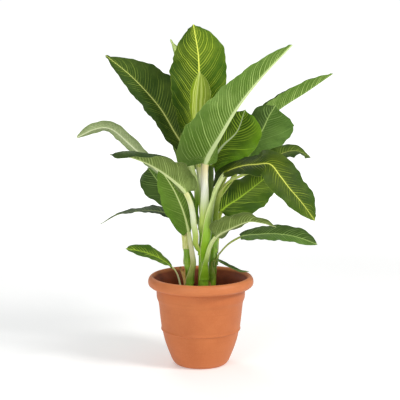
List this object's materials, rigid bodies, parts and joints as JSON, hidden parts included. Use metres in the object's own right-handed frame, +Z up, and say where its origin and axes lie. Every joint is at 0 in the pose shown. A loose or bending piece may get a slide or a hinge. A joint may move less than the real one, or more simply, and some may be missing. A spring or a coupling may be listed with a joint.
{
  "type": "potted dieffenbachia",
  "caption": "House plant with upright canes and broad cream-striped green leaves, standing in a round terracotta-coloured pot with a rolled rim.",
  "frame": {"origin": "middle of the flat underside of the pot", "axes": "+Z up through the pot to the top leaf, -Y towards the viewer of the picture, +X to the viewer's right"},
  "size_m": [0.5836, 0.411, 0.7684],
  "materials": {
    "pot": "terracotta-coloured moulded plastic, matte",
    "soil": "moist potting soil, loose",
    "cane": "green living stem with ring scars",
    "dry": "dried leaf base, tan",
    "leaf": "living leaf, satin, with pale ribs",
    "young_leaf": "young leaf, satin, pale green"
  },
  "bodies": {
    "root": {"pot": "pot", "soil": "soil", "cane_left": "cane", "cane_centre": "cane", "cane_right": "cane", "dry_sheath_left": "dry", "dry_stub_left": "dry", "dry_stub_right": "dry", "leaf_top_upright": "leaf", "leaf_young_rolled": "young_leaf", "leaf_front_right": "leaf", "leaf_centre_right": "leaf", "leaf_upper_left": "leaf", "leaf_far_left_arched": "leaf", "leaf_left_front": "leaf", "leaf_lower_left": "leaf", "leaf_left_back": "leaf", "leaf_left_drooping": "leaf", "leaf_small_sucker": "leaf", "leaf_far_right_upper": "leaf", "leaf_right_broad": "leaf", "leaf_right_behind": "leaf", "leaf_right_bent": "leaf", "leaf_right_middle": "leaf", "leaf_right_arched": "leaf", "leaf_right_low": "leaf", "leaf_right_thin": "leaf", "leaf_back_upright": "leaf"}
  },
  "joints": []
}
